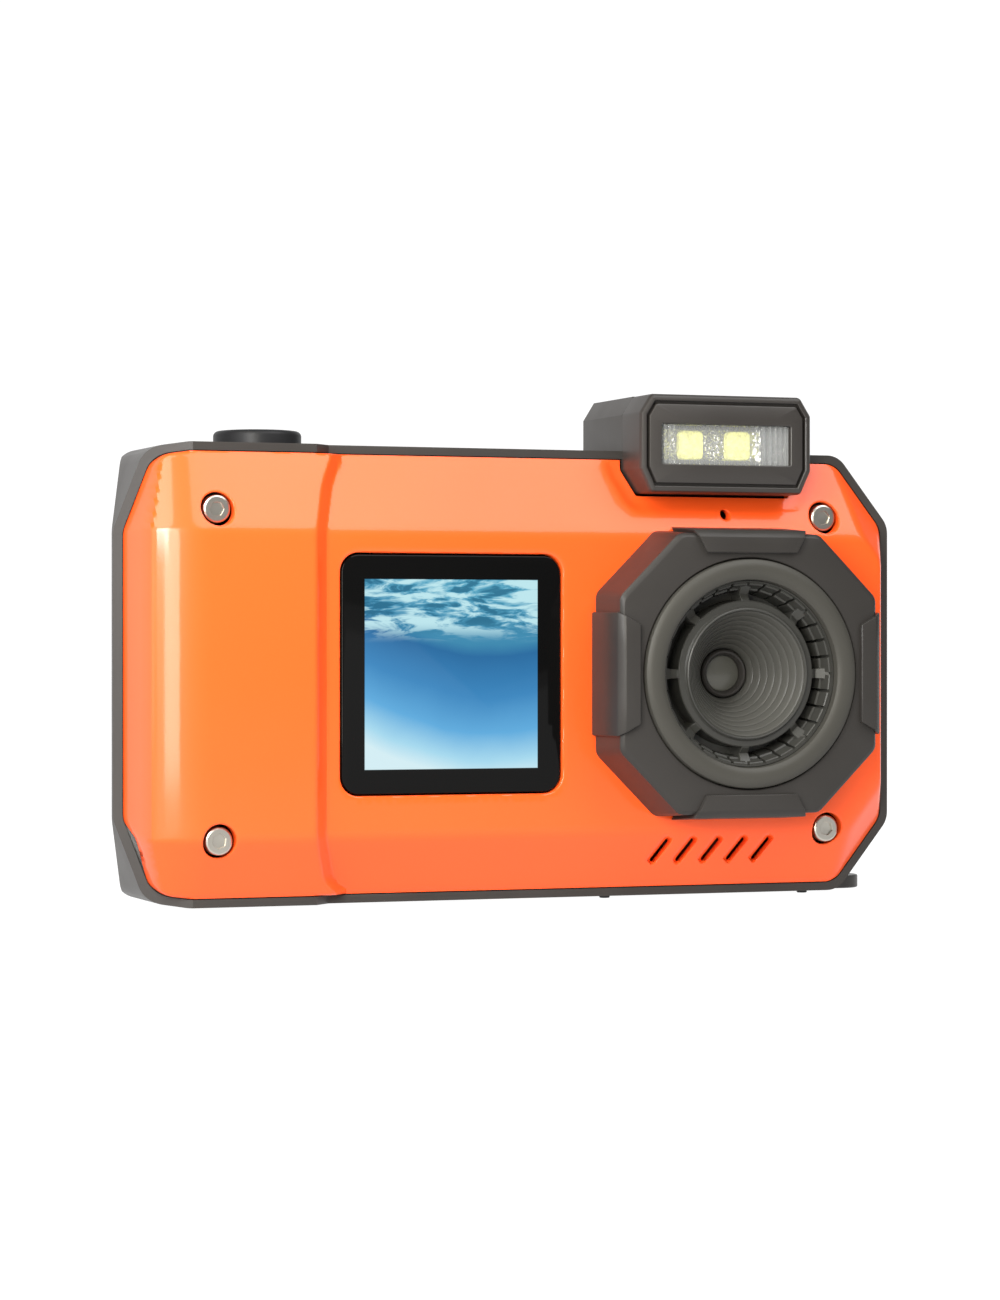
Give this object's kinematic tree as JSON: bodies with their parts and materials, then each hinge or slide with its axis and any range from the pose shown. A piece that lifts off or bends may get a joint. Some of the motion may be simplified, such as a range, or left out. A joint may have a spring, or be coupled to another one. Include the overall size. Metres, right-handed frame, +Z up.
{
  "type": "action camera",
  "caption": "Rugged waterproof action camera with a ringed lens in an octagonal bezel, a front screen, a twin-diode lamp head, sprung buttons and a hinged battery door.",
  "frame": {"origin": "centre of the mouth of the tripod socket, in the middle of the flat underside", "axes": "+Z up, the lens looks along -Y, +X to the right seen from the front"},
  "size_m": [0.1172, 0.0336, 0.0724],
  "materials": {
    "cover_paint": "satin orange paint",
    "shell_plastic": "fine matt texture, dark grey",
    "lens_plastic": "dull dark grey",
    "button_plastic": "matt dark grey",
    "black_rubber": "matt",
    "seal_silicone": "matt",
    "screw_steel": "bright",
    "brass": "machined",
    "screen_glass": "clear gloss over black",
    "optical_glass": "polished",
    "screen_module": "lit screen",
    "reflector_foil": "crinkled foil",
    "led_phosphor": "yellow phosphor",
    "circuit_board": "solder mask",
    "black_plastic": "plain moulded"
  },
  "bodies": {
    "root": {"front_cover": "cover_paint", "rear_shell": "shell_plastic", "cover_gasket": "black_rubber", "cover_screws": "screw_steel", "lens_bezel": "shell_plastic", "lens_ring": "lens_plastic", "baffle_ring": "lens_plastic", "lens_cone": "lens_plastic", "lens_retainer": "lens_plastic", "front_lens": "optical_glass", "lens_barrel": "lens_plastic", "inner_lens": "optical_glass", "lens_holder": "lens_plastic", "infrared_filter": "optical_glass", "image_sensor": "screen_module", "sensor_board": "circuit_board", "front_glass": "screen_glass", "front_display": "screen_module", "rear_glass": "screen_glass", "rear_display": "screen_module", "lamp_housing": "shell_plastic", "lamp_panel": "shell_plastic", "lamp_window": "optical_glass", "lamp_reflector": "reflector_foil", "lamp_leds": "led_phosphor", "lamp_board": "circuit_board", "shutter_spring": "screw_steel", "shutter_seal": "black_rubber", "shutter_switch": "black_plastic", "power_switch": "black_plastic", "button_membrane": "black_rubber", "button_board": "circuit_board", "hinge_bracket": "screw_steel", "hinge_pin": "screw_steel", "battery": "black_plastic", "battery_holder": "black_plastic", "battery_contacts": "brass", "main_board": "circuit_board", "board_screws": "screw_steel", "io_board": "circuit_board", "usb_socket": "screw_steel", "card_slot": "screw_steel", "memory_card": "black_plastic", "speaker": "screw_steel", "microphone": "brass", "tripod_insert": "brass", "strap_lug": "shell_plastic", "foot_pips": "black_rubber"},
    "shutter": {"shutter_button": "button_plastic"},
    "power": {"power_button": "button_plastic"},
    "ok_key": {"ok_button": "button_plastic"},
    "up_key": {"up_button": "button_plastic"},
    "down_key": {"down_button": "button_plastic"},
    "left_key": {"left_button": "button_plastic"},
    "right_key": {"right_button": "button_plastic"},
    "mode_key": {"mode_button": "button_plastic"},
    "play_key": {"play_button": "button_plastic"},
    "door": {"battery_door": "shell_plastic", "door_gasket": "seal_silicone"},
    "latch": {"door_latch": "shell_plastic"}
  },
  "joints": [
    {"name": "shutter_press", "type": "slide", "parent": "root", "child": "shutter", "axis": [0, 0, -1], "range_m": [0, 0.001], "stiffness_N_per_m": 1200, "springref_m": -0.0006, "deforming": ["shutter_spring"]},
    {"name": "power_press", "type": "slide", "parent": "root", "child": "power", "axis": [0, 0, -1], "range_m": [0, 0.0006], "stiffness_N_per_m": 1500, "springref_m": -0.0004},
    {"name": "ok_press", "type": "slide", "parent": "root", "child": "ok_key", "axis": [0, -1, 0], "range_m": [0, 0.0005], "stiffness_N_per_m": 1500, "springref_m": -0.0004},
    {"name": "up_press", "type": "slide", "parent": "root", "child": "up_key", "axis": [0, -1, 0], "range_m": [0, 0.0005], "stiffness_N_per_m": 1500, "springref_m": -0.0004},
    {"name": "down_press", "type": "slide", "parent": "root", "child": "down_key", "axis": [0, -1, 0], "range_m": [0, 0.0005], "stiffness_N_per_m": 1500, "springref_m": -0.0004},
    {"name": "left_press", "type": "slide", "parent": "root", "child": "left_key", "axis": [0, -1, 0], "range_m": [0, 0.0005], "stiffness_N_per_m": 1500, "springref_m": -0.0004},
    {"name": "right_press", "type": "slide", "parent": "root", "child": "right_key", "axis": [0, -1, 0], "range_m": [0, 0.0005], "stiffness_N_per_m": 1500, "springref_m": -0.0004},
    {"name": "mode_press", "type": "slide", "parent": "root", "child": "mode_key", "axis": [0, -1, 0], "range_m": [0, 0.0005], "stiffness_N_per_m": 1500, "springref_m": -0.0004},
    {"name": "play_press", "type": "slide", "parent": "root", "child": "play_key", "axis": [0, -1, 0], "range_m": [0, 0.0005], "stiffness_N_per_m": 1500, "springref_m": -0.0004},
    {"name": "door_hinge", "type": "hinge", "parent": "root", "child": "door", "pos_m": [-0.031, 0.0071, 0.0017], "axis": [1, 0, 0], "range_deg": [0, 90]},
    {"name": "latch_slide", "type": "slide", "parent": "door", "child": "latch", "axis": [1, 0, 0], "range_m": [0, 0.003]}
  ]
}
